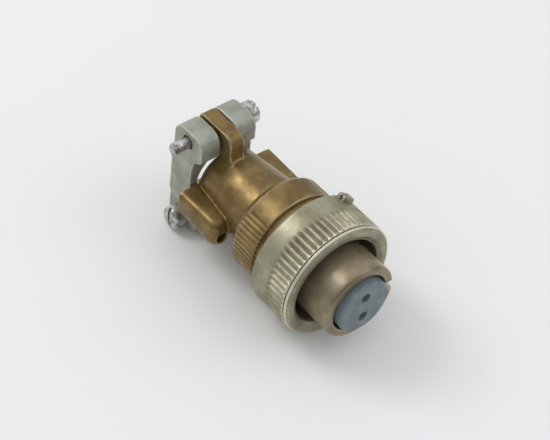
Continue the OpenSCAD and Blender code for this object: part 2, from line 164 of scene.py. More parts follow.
class Sheet:
    """A material under construction: its node tree and the few calls that fill it."""

    def __init__(self, name: str) -> None:
        """Makes an empty material with an output node.

        Args:
            name: The material's name.
        """
        self.material = bpy.data.materials.new(name)
        self.material.use_nodes = True
        self.tree = self.material.node_tree
        self.tree.nodes.clear()
        self.end = self.tree.nodes.new("ShaderNodeOutputMaterial")
        self.place = self.output("ShaderNodeTexCoord", {}, {}, "Object")

    def node(self, kind: str, settings: dict, values: dict) -> bpy.types.Node:
        """Adds a node.

        Args:
            kind: The node's type.
            settings: Its own settings, applied first.
            values: Values or Socks for its inputs, by name or number.

        Returns:
            The new node.
        """
        made = self.tree.nodes.new(kind)
        for key, value in settings.items():
            setattr(made, key, value)
        for key, value in values.items():
            socket = made.inputs[key]
            if isinstance(value, Sock):
                self.tree.links.new(value.link, socket)
            elif isinstance(value, tuple) and len(value) == 3 and socket.type == "RGBA":
                socket.default_value = (*value, 1.0)
            else:
                socket.default_value = value
        return made

    def output(self, kind: str, settings: dict, values: dict, out: Union[str, int] = 0) -> Sock:
        """Adds a node and returns one of its outputs, by name or number."""
        return Sock(self, self.node(kind, settings, values).outputs[out])

    def math(self, operation: str, first: object, second: object) -> Sock:
        """Adds a Math node on two operands."""
        return self.output("ShaderNodeMath", {"operation": operation}, {0: first, 1: second})

    def mix(self, share: object, low: object, high: object) -> Sock:
        """Mixes two colours by a share."""
        return self.output("ShaderNodeMix", {"data_type": "RGBA"}, {0: share, 6: low, 7: high}, 2)

    def noise(self, scale: float, detail: float = 3.0, stretch: Sequence[float] = (1, 1, 1)) -> Sock:
        """Returns a noise over the object, with scale in cells a metre.

        Args:
            scale: Cells a metre.
            detail: Octaves of finer noise.
            stretch: How the pattern is scaled along each axis.

        Returns:
            The noise, from 0 to 1.
        """
        where = self.output("ShaderNodeMapping", {}, {"Vector": self.place, "Scale": tuple(stretch)})
        return self.output("ShaderNodeTexNoise", {}, {"Vector": where, "Scale": scale, "Detail": detail,
                                                      "Roughness": 0.55})

    def wear(self) -> Sock:
        """Returns the mark that the mesh carries on its exposed edges."""
        return self.output("ShaderNodeAttribute", {"attribute_name": WEAR_MARK}, {}, "Fac")

    def bump(self, height: object, depth: float) -> Sock:
        """Returns a normal raised by a height, with depth in metres."""
        return self.output("ShaderNodeBump", {}, {"Height": height, "Distance": depth, "Strength": 1.0})

    def finish(self, **values: object) -> bpy.types.Material:
        """Adds the surface shader with the given inputs and returns the material.

        Args:
            values: Inputs of the shader, with _ for a space in a name.

        Returns:
            The finished material.
        """
        inputs = {key.replace("_", " "): value for key, value in values.items()}
        shader = self.node("ShaderNodeBsdfPrincipled", {}, inputs)
        self.tree.links.new(shader.outputs[0], self.end.inputs["Surface"])
        return self.material


@dataclass(frozen=True)
class CoatedMetal:
    """A drab conversion coating on light alloy: blotchy, a little worn, with bare metal at its edges."""

    name: str
    coat: Colour
    shade: Colour
    bare: Colour
    tint: Colour
    roughness: float
    metallic: float
    blotch: float = 260.0
    grain_depth: float = 6e-6
    edge_wear: float = 0.8
    speckle: float = 0.35

    def build(self) -> bpy.types.Material:
        """Builds the finish.

        Returns:
            The material.
        """
        sheet = Sheet(self.name)
        blotch = sheet.noise(self.blotch, 4.0).within(0.36, 0.66)
        tint = sheet.noise(self.blotch * 2.3, 3.0).within(0.56, 0.74)
        fine = sheet.noise(2600.0, 2.0)
        edge = (sheet.wear() * (0.55 + 0.9 * sheet.noise(900.0, 3.0))).within(0.25, 0.75) * self.edge_wear
        flecks = sheet.noise(1500.0, 1.5).within(0.68, 0.76) * self.speckle
        colour = sheet.mix(blotch, self.coat, self.shade)
        colour = sheet.mix(tint * 0.55, colour, self.tint)
        colour = sheet.mix(flecks, colour, self.bare)
        colour = sheet.mix(edge, colour, self.bare)
        scratches = sheet.noise(1100.0, 2.0, (0.12, 1.0, 1.0)).within(0.6, 0.72)
        roughness = self.roughness + 0.1 * (blotch - 0.5) + 0.08 * (fine - 0.5) - 0.1 * edge
        normal = sheet.bump(fine + 0.5 * sheet.noise(700.0, 3.0) - 0.25 * scratches, self.grain_depth)
        return sheet.finish(Base_Color=colour, Roughness=roughness, Metallic=self.metallic, Normal=normal)


@dataclass(frozen=True)
class PlatedSteel:
    """Plated steel, bright, with duller grimy patches scattered at random."""

    name: str
    bright: Colour
    dull: Colour
    roughness: float = 0.34

    def build(self) -> bpy.types.Material:
        """Builds the finish.

        Returns:
            The material.
        """
        sheet = Sheet(self.name)
        grime = sheet.noise(900.0, 3.0).within(0.42, 0.7)
        colour = sheet.mix(grime, self.bright, self.dull)
        fine = sheet.noise(4200.0, 2.0)
        normal = sheet.bump(fine, 3e-6)
        return sheet.finish(Base_Color=colour, Roughness=self.roughness + 0.18 * grime, Metallic=0.95,
                            Normal=normal)


@dataclass(frozen=True)
class Moulded:
    """A resilient moulding: matt, faintly dusty, with a fine skin."""

    name: str
    colour: Colour
    dust: Colour
    roughness: float = 0.6
    skin_depth: float = 8e-6

    def build(self) -> bpy.types.Material:
        """Builds the finish.

        Returns:
            The material.
        """
        sheet = Sheet(self.name)
        dust = sheet.noise(420.0, 4.0).within(0.4, 0.75)
        specks = sheet.noise(2300.0, 1.0).within(0.7, 0.78)
        colour = sheet.mix(dust * 0.6, self.colour, self.dust)
        colour = sheet.mix(specks * 0.35, colour, self.dust)
        colour = sheet.mix(sheet.wear() * 0.35, colour, self.dust)
        skin = sheet.noise(1800.0, 3.0)
        return sheet.finish(Base_Color=colour, Roughness=self.roughness + 0.1 * (dust - 0.5),
                            Normal=sheet.bump(skin, self.skin_depth), Specular_IOR_Level=0.4)


# ---------------------------------------------------------------- mesh helpers


def rounded(corners: Sequence[Corner], steps: int = 4) -> list[Point]:
    """Rounds the corners of a closed profile.

    Args:
        corners: Points as (x, radius, fillet), in millimetres.
        steps: Straight pieces in each fillet.

    Returns:
        The profile's points, in millimetres.
    """
    points: list[Point] = []
    count = len(corners)
    for i, (x, r, fillet) in enumerate(corners):
        here = Vector((x, r))
        before = Vector(corners[i - 1][:2])
        after = Vector(corners[(i + 1) % count][:2])
        to_before, to_after = before - here, after - here
        reach = min(fillet, to_before.length * 0.45, to_after.length * 0.45)
        if reach <= 1e-6:
            points.append((x, r))
            continue
        start = here + to_before.normalized() * reach
        end = here + to_after.normalized() * reach
        for k in range(steps + 1):
            t = k / steps
            spot = start * (1 - t) ** 2 + here * 2 * t * (1 - t) + end * t ** 2
            points.append((spot.x, spot.y))
    return points


def densified(points: Sequence[Point], step: float) -> list[Point]:
    """Splits the long sides of a closed profile so that none is longer than step.

    Args:
        points: The profile's points, in millimetres.
        step: The longest side allowed.

    Returns:
        The profile with more points.
    """
    dense: list[Point] = []
    for i, (x0, r0) in enumerate(points):
        x1, r1 = points[(i + 1) % len(points)]
        pieces = max(1, math.ceil(math.hypot(x1 - x0, r1 - r0) / step))
        dense.extend((x0 + (x1 - x0) * k / pieces, r0 + (r1 - r0) * k / pieces) for k in range(pieces))
    return dense


def swept(profile: Sequence[Point], segments: int, turn: float = math.tau,
          shape: Optional[Callable[[float, float, float], float]] = None) -> bpy.types.Mesh:
    """Turns a closed profile about the X axis.

    Args:
        profile: Points as (x, radius), in millimetres.
        segments: Steps round the axis.
        turn: The angle turned through.
        shape: Gives the radius at (x, radius, angle), for surfaces that aren't round.

    Returns:
        A mesh in metres, closed when the turn is a full one.
    """
    whole = abs(turn - math.tau) < 1e-6
    rings = segments if whole else segments + 1
    verts, faces = [], []
    for j in range(rings):
        angle = turn * j / segments
        for x, r in profile:
            radius = shape(x, r, angle) if shape else r
            verts.append((x * MM, radius * math.sin(angle) * MM, radius * math.cos(angle) * MM))
    count = len(profile)
    for j in range(segments):
        a, b = j * count, ((j + 1) % rings) * count
        for i in range(count):
            k = (i + 1) % count
            faces.append((a + i, a + k, b + k, b + i))
    mesh = bpy.data.meshes.new("swept")
    mesh.from_pydata(verts, [], faces)
    return mesh


def tidied(mesh: bpy.types.Mesh, merge: float = 1e-6) -> bpy.types.Mesh:
    """Merges doubles, drops flat faces and points the normals outwards.

    Args:
        mesh: The mesh to clean, changed in place.
        merge: Points nearer than this, in metres, become one.

    Returns:
        The same mesh.
    """
    work = bmesh.new()
    work.from_mesh(mesh)
    bmesh.ops.remove_doubles(work, verts=work.verts, dist=merge)
    bmesh.ops.dissolve_degenerate(work, edges=work.edges, dist=merge)
    bmesh.ops.recalc_face_normals(work, faces=work.faces)
    work.to_mesh(mesh)
    work.free()
    return mesh


def mark_edges(mesh: bpy.types.Mesh, low: float, high: float, spread: int = 1) -> None:
    """Writes the wear mark: how sharply the surface turns outwards at each point.

    Args:
        mesh: The mesh to mark.
        low: Curvature, per metre, where wear starts.
        high: Curvature where it is full.
        spread: Times that the mark is spread to the neighbours.
    """
    count = len(mesh.vertices)
    place = np.empty(count * 3)
    mesh.vertices.foreach_get("co", place)
    place = place.reshape(-1, 3)
    facing = np.empty(count * 3)
    mesh.vertex_normals.foreach_get("vector", facing)
    facing = facing.reshape(-1, 3)
    pairs = np.empty(len(mesh.edges) * 2, int)
    mesh.edges.foreach_get("vertices", pairs)
    a, b = pairs.reshape(-1, 2).T
    along = place[a] - place[b]
    length = np.maximum((along ** 2).sum(1), 1e-14)
    bend = ((facing[a] - facing[b]) * along).sum(1) / length
    near = np.zeros(count)
    total = np.zeros(count)
    for ends in (a, b):
        np.maximum.at(near, ends, bend)
        np.add.at(total, ends, 1)
    share = np.clip((near - low) / (high - low), 0, 1)
    for _ in range(spread):
        smooth = np.zeros(count)
        np.add.at(smooth, a, share[b])
        np.add.at(smooth, b, share[a])
        share = 0.5 * share + 0.5 * smooth / np.maximum(total, 1)
    layer = mesh.attributes.get(WEAR_MARK) or mesh.attributes.new(WEAR_MARK, "FLOAT", "POINT")
    layer.data.foreach_set("value", share.astype(np.float32))


def as_object(name: str, mesh: bpy.types.Mesh) -> bpy.types.Object:
    """Links a mesh to the scene under a name.

    Args:
        name: The name of the mesh and its object.
        mesh: The mesh.

    Returns:
        The new object.
    """
    mesh.name = name
    made = bpy.data.objects.new(name, mesh)
    bpy.context.scene.collection.objects.link(made)
    return made


def baked(piece: bpy.types.Object) -> bpy.types.Mesh:
    """Returns the piece's mesh with its modifiers applied, and takes the modifiers off.

    Args:
        piece: An object with modifiers.

    Returns:
        A plain mesh of what the modifiers make.
    """
    graph = bpy.context.evaluated_depsgraph_get()
    graph.update()
    mesh = bpy.data.meshes.new_from_object(piece.evaluated_get(graph))
    piece.modifiers.clear()
    return mesh


def applied(mesh: bpy.types.Mesh, *settings: tuple[str, dict]) -> bpy.types.Mesh:
    """Runs modifiers on a mesh.

    Args:
        mesh: The mesh to change.
        settings: Pairs of a modifier's type and its settings.

    Returns:
        The resulting mesh.
    """
    helper = as_object("helper", mesh)
    for kind, values in settings:
        modifier = helper.modifiers.new(kind.lower(), kind)
        for key, value in values.items():
            setattr(modifier, key, value)
    result = baked(helper)
    bpy.data.objects.remove(helper)
    return result


def cut(mesh: bpy.types.Mesh, tools: Iterable[bpy.types.Mesh]) -> bpy.types.Mesh:
    """Cuts tool meshes out of a mesh with exact booleans.

    Args:
        mesh: The mesh to cut.
        tools: Closed meshes to cut away.

    Returns:
        The resulting mesh.
    """
    for tool in tools:
        cutter = as_object("cutter", tidied(tool))
        mesh = applied(mesh, ("BOOLEAN", {"object": cutter, "operation": "DIFFERENCE", "solver": "EXACT"}))
        bpy.data.objects.remove(cutter)
    return mesh


def softened(mesh: bpy.types.Mesh, width: float, segments: int, angle: float = 30.0) -> bpy.types.Mesh:
    """Bevels the edges sharper than an angle in degrees, by a width in millimetres."""
    return applied(mesh, ("BEVEL", {"width": width * MM, "segments": segments, "limit_method": "ANGLE",
                                    "angle_limit": math.radians(angle)}))


def block(low: Sequence[float], high: Sequence[float], turn: Optional[Matrix] = None) -> bpy.types.Mesh:
    """Makes a box between two corners, in millimetres, turned by a matrix.

    Args:
        low: The lower corner.
        high: The upper corner.
        turn: A turn about the origin, made in millimetres.

    Returns:
        The box's mesh, in metres.
    """
    work = bmesh.new()
    bmesh.ops.create_cube(work, size=1)
    for vert in work.verts:
        for k in range(3):
            vert.co[k] = (low[k] + high[k]) / 2 + vert.co[k] * (high[k] - low[k])
    work.transform(Matrix.Scale(MM, 4) @ (turn or Matrix.Identity(4)))
    mesh = bpy.data.meshes.new("block")
    work.to_mesh(mesh)
    work.free()
    return mesh


def rod(radius: float, start: Sequence[float], end: Sequence[float], sides: int = 48) -> bpy.types.Mesh:
    """Makes a plain round rod between two points, in millimetres, as a cutting tool.

    Args:
        radius: The rod's radius.
        start: One end of its axis.
        end: The other end.
        sides: Flat sides round it.

    Returns:
        The rod's mesh, in metres.
    """
    axis = Vector(end) - Vector(start)
    work = bmesh.new()
    bmesh.ops.create_cone(work, cap_ends=True, segments=sides, radius1=radius, radius2=radius,
                          depth=axis.length)
    turn = axis.to_track_quat("Z", "Y").to_matrix().to_4x4()
    work.transform(Matrix.Scale(MM, 4) @ Matrix.Translation((Vector(start) + Vector(end)) / 2) @ turn)
    mesh = bpy.data.meshes.new("rod")
    work.to_mesh(mesh)
    work.free()
    return mesh


def cad_copy(node: str) -> bpy.types.Mesh:
    """Returns a merged copy of a CAD node's mesh.

    Args:
        node: The node's name.

    Returns:
        The copy, without materials.
    """
    mesh = frame["nodes"][node].data.copy()
    mesh.materials.clear()
    return tidied(mesh, 2e-6)


def settle(name: str, mesh: bpy.types.Mesh, body: Body, material: bpy.types.Material,
           stands_for: Sequence[str] = (), crease: float = 35.0,
           wear: tuple[float, float, int] = (1500.0, 6000.0, 1)) -> bpy.types.Object:
    """Turns a mesh into a finished piece of the part.

    Args:
        name: The piece's name.
        mesh: Its mesh, in place.
        body: The body that it rides on.
        material: Its finish.
        stands_for: CAD nodes that it replaces.
        crease: Angle in degrees above which an edge stays sharp.
        wear: Limits and spread of the wear mark.

    Returns:
        The piece.
    """
    for face in mesh.polygons:
        face.use_smooth = True
    mesh.set_sharp_from_angle(angle=math.radians(crease))
    mark_edges(mesh, *wear)
    mesh.materials.clear()
    mesh.materials.append(material)
    piece = as_object(name, mesh)
    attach(piece, body.value)
    if stands_for:
        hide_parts(*stands_for)
    LOG.info("%s: %d faces on %s", name, len(mesh.polygons), body.value)
    return piece


# ---------------------------------------------------------------- geometry nodes


class GeoTree:
    """A Geometry Nodes group under construction, with named inputs."""

    def __init__(self, name: str, inputs: dict[str, tuple[str, object]]) -> None:
        """Makes the group.

        Args:
            name: The group's name.
            inputs: For each input, its socket type and default value.
        """
        self.tree = bpy.data.node_groups.new(name, "GeometryNodeTree")
        sockets = self.tree.interface
        sockets.new_socket("Geometry", in_out="INPUT", socket_type="NodeSocketGeometry")
        self.ids: dict[str, str] = {}
        for key, (kind, value) in inputs.items():
            made = sockets.new_socket(key, in_out="INPUT", socket_type=kind)
            if value is not None:
                made.default_value = value
            self.ids[key] = made.identifier
        sockets.new_socket("Geometry", in_out="OUTPUT", socket_type="NodeSocketGeometry")
        self.start = self.tree.nodes.new("NodeGroupInput")
        self.end = self.tree.nodes.new("NodeGroupOutput")

    def node(self, kind: str, settings: dict, values: dict) -> bpy.types.Node:
        """Adds a node with its settings, then its inputs as values or output sockets.

        Args:
            kind: The node's type.
            settings: Its own settings, applied first.
            values: Values or output sockets for its inputs, by name or number.

        Returns:
            The new node.
        """
        made = self.tree.nodes.new(kind)
        for key, value in settings.items():
            setattr(made, key, value)
        for key, value in values.items():
            if isinstance(value, bpy.types.NodeSocket):
                self.tree.links.new(value, made.inputs[key])
            else:
                made.inputs[key].default_value = value
        return made

    def maths(self, operation: str, first: object, second: object = 0.0) -> bpy.types.NodeSocket:
        """Adds a Math node and returns its output."""
        return self.node("ShaderNodeMath", {"operation": operation}, {0: first, 1: second}).outputs[0]

    def about_x(self, angle: object) -> bpy.types.NodeSocket:
        """Returns a rotation about the X axis by an angle."""
        return self.node("ShaderNodeCombineXYZ", {}, {"X": angle}).outputs[0]

    def close(self, geometry: bpy.types.NodeSocket, material: bpy.types.NodeSocket) -> None:
        """Ends the tree in real geometry with its material set.

        Args:
            geometry: What the tree has made.
            material: The group's material input.
        """
        real = self.node("GeometryNodeRealizeInstances", {}, {"Geometry": geometry}).outputs[0]
        dressed = self.node("GeometryNodeSetMaterial", {}, {"Geometry": real, "Material": material})
        self.tree.links.new(dressed.outputs[0], self.end.inputs[0])

    def run(self, mesh: bpy.types.Mesh, **values: object) -> bpy.types.Mesh:
        """Runs the group on a mesh with the given inputs and returns the plain result.

        Args:
            mesh: The mesh that goes in.
            values: The group's inputs, with _ for a space in a name.

        Returns:
            The plain mesh that comes out.
        """
        helper = as_object("grown", mesh)
        modifier = helper.modifiers.new("grow", "NODES")
        modifier.node_group = self.tree
        for key, value in values.items():
            modifier[self.ids[key.replace("_", " ")]] = value
        result = baked(helper)
        bpy.data.objects.remove(helper)
        return result


def sector_ring_tree() -> GeoTree:
    """Builds the group that repeats one sector of a turned piece round the X axis and welds the copies.

    Returns:
        The group.
    """
    group = GeoTree("sector_ring", {"Count": ("NodeSocketInt", 60), "Weld": ("NodeSocketFloat", 2e-6),
                                    "Material": ("NodeSocketMaterial", None)})
    count = group.start.outputs["Count"]
    spots = group.node("GeometryNodePoints", {}, {"Count": count}).outputs[0]
    index = group.node("GeometryNodeInputIndex", {}, {}).outputs[0]
    angle = group.maths("MULTIPLY", group.maths("DIVIDE", index, count), -math.tau)
    copies = group.node("GeometryNodeInstanceOnPoints", {},
                        {"Points": spots, "Instance": group.start.outputs["Geometry"],
                         "Rotation": group.about_x(angle)}).outputs[0]
    real = group.node("GeometryNodeRealizeInstances", {}, {"Geometry": copies}).outputs[0]
    whole = group.node("GeometryNodeMergeByDistance", {},
                       {"Geometry": real, "Distance": group.start.outputs["Weld"]}).outputs[0]
    group.close(whole, group.start.outputs["Material"])
    return group


def rib_band_tree() -> GeoTree:
    """Builds the group that stands ribs side by side on a ring, apart from two smooth pads.

    Returns:
        The group.
    """
    group = GeoTree("rib_band", {"Count": ("NodeSocketInt", 64), "Radius": ("NodeSocketFloat", 0.01),
                                 "Pad": ("NodeSocketFloat", 0.7), "Material": ("NodeSocketMaterial", None)})
    count = group.start.outputs["Count"]
    index = group.node("GeometryNodeInputIndex", {}, {}).outputs[0]
    angle = group.maths("MULTIPLY", group.maths("DIVIDE", group.maths("ADD", index, 0.5), count), math.tau)
    away = group.maths("ABSOLUTE", group.maths("COSINE", angle))
    pad = group.maths("COSINE", group.start.outputs["Pad"])
    radius = group.start.outputs["Radius"]
    place = group.node("ShaderNodeCombineXYZ", {},
                       {"Y": group.maths("MULTIPLY", group.maths("SINE", angle), radius),
                        "Z": group.maths("MULTIPLY", group.maths("COSINE", angle), radius)}).outputs[0]
    spots = group.node("GeometryNodePoints", {}, {"Count": count, "Position": place}).outputs[0]
    ribbed = group.node("FunctionNodeCompare", {"data_type": "FLOAT", "operation": "LESS_THAN"},
                        {0: away, 1: pad}).outputs[0]
    turn = group.about_x(group.maths("MULTIPLY", angle, -1.0))
    ribs = group.node("GeometryNodeInstanceOnPoints", {},
                      {"Points": spots, "Selection": ribbed, "Instance": group.start.outputs["Geometry"],
                       "Rotation": turn}).outputs[0]
    group.close(ribs, group.start.outputs["Material"])
    return group


def thread_tree() -> GeoTree:
    """Builds the group that winds a V-shaped ridge along the Z axis, for inside and outside threads.

    Returns:
        The group.
    """
    group = GeoTree("thread", {"Turns": ("NodeSocketFloat", 5.0), "Pitch": ("NodeSocketFloat", 0.001),
                               "Root": ("NodeSocketFloat", 0.001), "Height": ("NodeSocketFloat", 0.0004),
                               "Steps": ("NodeSocketInt", 48), "Material": ("NodeSocketMaterial", None)})
    inputs = group.start.outputs
    turns, pitch, root, height = inputs["Turns"], inputs["Pitch"], inputs["Root"], inputs["Height"]
    path = group.node("GeometryNodeCurveSpiral", {},
                      {"Resolution": inputs["Steps"], "Rotations": turns, "Start Radius": root,
                       "End Radius": root, "Height": group.maths("MULTIPLY", turns, pitch)}).outputs[0]
    upright = group.node("GeometryNodeSetCurveNormal", {"mode": "Z_UP"}, {"Curve": path}).outputs[0]
    half_foot = group.maths("MULTIPLY", pitch, 0.46)
    half_crest = group.maths("MULTIPLY", pitch, 0.1)
    foot = group.maths("MULTIPLY", height, -0.2)

    def corner(out: bpy.types.NodeSocket, wide: bpy.types.NodeSocket, side: float) -> bpy.types.NodeSocket:
        """Returns one corner of the ridge's section."""
        across = group.maths("MULTIPLY", wide, side)
        return group.node("ShaderNodeCombineXYZ", {}, {"X": out, "Y": across}).outputs[0]

    points = (corner(foot, half_foot, 1.0), corner(foot, half_foot, -1.0),
              corner(height, half_crest, -1.0), corner(height, half_crest, 1.0))
    section = group.node("GeometryNodeCurvePrimitiveQuadrilateral", {"mode": "POINTS"},
                         {f"Point {i + 1}": spot for i, spot in enumerate(points)}).outputs[0]
    ridge = group.node("GeometryNodeCurveToMesh", {},
                       {"Curve": upright, "Profile Curve": section, "Fill Caps": True}).outputs[0]
    group.close(ridge, inputs["Material"])
    return group


def wound(length: float, pitch: float, root: float, height: float, steps: int,
          material: bpy.types.Material, start: float) -> bpy.types.Mesh:
    """Winds a thread's ridge along the X axis.

    Args:
        length: The threaded length, in millimetres.
        pitch: Distance between two turns.
        root: Radius of the ridge's foot.
        height: How far the ridge stands out from it, below 0 for an inside thread.
        steps: Straight pieces in each turn.
        material: Its finish.
        start: Where the thread begins on X.

    Returns:
        The ridge's mesh, in metres.
    """
    ridge = thread_tree().run(bpy.data.meshes.new("seed"), Turns=length / pitch, Pitch=pitch * MM,
                              Root=root * MM, Height=height * MM, Steps=steps, Material=material)
    ridge.transform(Matrix.Translation((start * MM, 0, 0)) @ Matrix.Rotation(math.pi / 2, 4, "Y"))
    return ridge


# ---------------------------------------------------------------- the plug's sub-assemblies


@dataclass
class CouplingNut:
    """The fluted nut, its internal thread and its drilled ear for a safety wire. Sizes in millimetres."""

    material: bpy.types.Material
    flutes: int = 60
    flute_depth: float = 0.5
    flute_length: float = 4.8
    flute_front: float = -0.5
    flute_share: float = 0.33
    rear_ramp: float = 0.35
    front_ramp: float = 0.25
    relief: float = 0.42
    bore: float = 8.25
    flange: float = 2.0
    thread_root: float = 9.5
    thread_crest: float = 9.0
    thread_back: float = -4.9
    lead_in: float = 0.9
    mouth: float = 10.3
    pitch: float = 1.27
    ear_angle: float = 38.0
    ear_place: float = 1.7
    ear_half: Point = (1.1, 1.5)
    ear_sunk: float = 0.6
    ear_rise: float = 0.95
    ear_hole: float = 0.48
    ear_hole_rise: float = 0.32

    def __post_init__(self) -> None:
        """Takes the nut's ends and radius from the frame."""
        low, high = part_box("coupling_nut")
        self.back, self.front = low.x / MM, high.x / MM
        self.radius = high.y / MM

    def outline(self) -> list[Corner]:
        """Returns the nut's profile with a fillet at each corner.

        Returns:
            Points as (x, radius, fillet).
        """
        r, back, front, root = self.radius, self.back, self.front, self.thread_root
        flange = back + self.flange
        edge = self.flute_front
        sunk = r - self.relief
        return [
            (back, self.bore, 0.1), (back, r - 0.5, 0.3), (back + 0.5, r, 0.3),
            (edge + 0.12, r, 0.12), (edge + 0.17, sunk, 0.06), (edge + 0.34, sunk, 0.06),
            (edge + 0.42, r - 0.08, 0.1), (edge + 0.84, r - 0.14, 0.1), (edge + 0.9, sunk, 0.04),
            (front - 0.1, r - 0.6, 0.25), (front, r - 1.0, 0.25),
            (front, self.mouth + 0.1, 0.18), (front - 0.55, root + 0.15, 0.1),
            (front - self.lead_in, root, 0.1), (flange, root, 0.2), (flange, self.bore, 0.1),
        ]

    def fluted(self, x: float, r: float, angle: float) -> float:
        """Returns the radius at a point of one sector, sunk where a flute runs.

        Args:
            x: The point's place along the axis.
            r: Its radius on the plain profile.
            angle: Its angle in the sector.

        Returns:
            Its radius on the fluted nut.
        """
        if r < self.radius - 0.2:
            return r
        start = self.flute_front - self.flute_length
        rise = (x - start) / self.rear_ramp
        fall = (self.flute_front + 0.1 - x) / self.front_ramp
        ramp = min(1.0, max(0.0, min(rise, fall)))
        ramp = ramp * ramp * (3 - 2 * ramp)
        share = angle * self.flutes / math.tau
        groove = max(0.0, 1 - abs(share - 0.5) / self.flute_share)
        return r - self.flute_depth * ramp * groove ** 0.8

    def build(self) -> None:
        """Builds the nut's pieces."""
        profile = densified(rounded(self.outline()), 0.42)
        sector = swept(profile, 10, math.tau / self.flutes, self.fluted)
        nut = sector_ring_tree().run(sector, Count=self.flutes, Material=self.material)
        settle("coupling_nut_dressed", tidied(nut), Body.NUT, self.material,
               ["coupling_nut"], 50.0, (1400.0, 5200.0, 1))
        self.thread()
        self.ear()

    def thread(self) -> None:
        """Winds the ridge of the internal thread, which stands inwards from the bore."""
        length = self.front - self.lead_in - self.thread_back
        ridge = wound(length, self.pitch, self.thread_root, self.thread_crest - self.thread_root, 96,
                      self.material, self.thread_back)
        settle("nut_thread", tidied(ridge), Body.NUT, self.material, (), 60.0)

    def ear(self) -> None:
        """Adds the ear for a safety wire on the smooth band."""
        middle = self.back + self.ear_place
        half_x, half_y = self.ear_half
        hole_z = self.radius + self.ear_hole_rise
        ear = block((middle - half_x, -half_y, self.radius - self.ear_sunk),
                    (middle + half_x, half_y, self.radius + self.ear_rise))
        ear = softened(ear, 0.45, 4)
        ear = cut(ear, [rod(self.ear_hole, (middle, -4, hole_z), (middle, 4, hole_z), 32)])
        ear = softened(ear, 0.08, 2, 50)
        ear.transform(Matrix.Rotation(-math.radians(self.ear_angle), 4, "X"))
        settle("safety_wire_ear", ear, Body.NUT, self.material)


@dataclass
class PlugShell:
    """The barrel that enters the receptacle, with its keyway. Sizes in millimetres."""

    material: bpy.types.Material
    barrel: float = 7.95
    bore: float = 6.15
    gasket_seat: float = 7.75
    shoulder: float = 8.75
    journal: float = 8.2
    circlip_seat: float = 7.45
    rear_thread: float = 7.9
    rear_bore: float = 7.0
    seat_front: float = -4.5
    shoulder_front: float = -5.6
    shoulder_back: float = -7.1
    step: float = -9.0
    circlip_front: float = -9.92
    circlip_back: float = -10.52
    key_angle: float = 3.0
    key_width: float = 2.3
    key_depth: float = 1.9
    key_back: float = -4.0

    def outline(self) -> list[Corner]:
        """Returns the shell's profile with a fillet at each corner.

        Returns:
            Points as (x, radius, fillet).
        """
        low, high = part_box("plug_shell")
        front, back = high.x / MM, low.x / MM
        return [
            (front, self.bore + 0.22, 0.1), (front, self.barrel - 0.35, 0.2),
            (front - 0.4, self.barrel, 0.25),
            (self.seat_front, self.barrel, 0), (self.seat_front, self.gasket_seat, 0),
            (self.shoulder_front, self.gasket_seat, 0), (self.shoulder_front, self.shoulder, 0.1),
            (self.shoulder_back, self.shoulder, 0.1), (self.shoulder_back, self.journal, 0),
            (self.circlip_front, self.journal, 0), (self.circlip_front, self.circlip_seat, 0),
            (self.circlip_back, self.circlip_seat, 0), (self.circlip_back, self.rear_thread, 0),
            (back, self.rear_thread, 0.2), (back, self.rear_bore, 0), (self.step, self.rear_bore, 0),
            (self.step, self.bore, 0), (front - 0.3, self.bore, 0.1),
        ]

    def build(self) -> None:
        """Builds the shell as one turned piece with a slot."""
        outline = self.outline()
        front = outline[0][0]
        shell = tidied(swept(densified(rounded(outline), 0.8), 192))
        turn = Matrix.Rotation(math.radians(self.key_angle), 4, "X")
        half = self.key_width / 2
        key = block((self.key_back, self.barrel - self.key_depth, -half),
                    (front + 1, self.barrel + 1, half), turn)
        shell = softened(cut(shell, [key]), 0.12, 2, 55)
        settle("plug_shell_dressed", shell, Body.SHELL, self.material, ["plug_shell"],
               40.0, (1200.0, 5000.0, 1))


@dataclass
class SocketInsert:
    """The resilient insert with its two contact holes. Sizes in millimetres."""

    material: bpy.types.Material
    radius: float = 5.7
    body_radius: float = 6.13
    flange_radius: float = 6.98
    body_front: float = 3.0
    flange_front: float = -9.02
    pitch: float = 4.8
    hole: float = 1.05
    hole_back: float = 6.4
    cavity: float = 1.42
    cavity_cover: float = 1.65
    face_step: float = 0.16
    face_step_y: float = 3.55

    def build(self) -> None:
        """Builds the insert with stepped holes and a shallow moulded step on its face."""
        low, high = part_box("socket_insert")
        front, back = high.x / MM, low.x / MM
        outline = [
            (front, 0.0, 0), (front, self.radius - 0.3, 0.25), (front - 0.35, self.radius, 0.3),
            (self.body_front, self.radius, 0.2), (self.body_front, self.body_radius, 0.1),
            (self.flange_front, self.body_radius, 0), (self.flange_front, self.flange_radius, 0.1),
            (back, self.flange_radius, 0.1), (back, 0.0, 0),
        ]
        insert = tidied(swept(densified(rounded(outline), 0.8), 128))
        tools = []
        for side in (-1, 1):
            z = side * self.pitch / 2
            tools.append(rod(self.hole, (self.hole_back, 0, z), (front + 1, 0, z), 64))
            tools.append(rod(self.cavity, (back + 0.5, 0, z), (front - self.cavity_cover, 0, z), 48))
        tools.append(block((front - self.face_step, self.face_step_y, -8), (front + 1, 8, 8)))
        insert = softened(cut(insert, tools), 0.12, 3, 40)
        settle("socket_insert_dressed", insert, Body.SHELL, self.material, ["socket_insert"],
               40.0, (1500.0, 7000.0, 1))


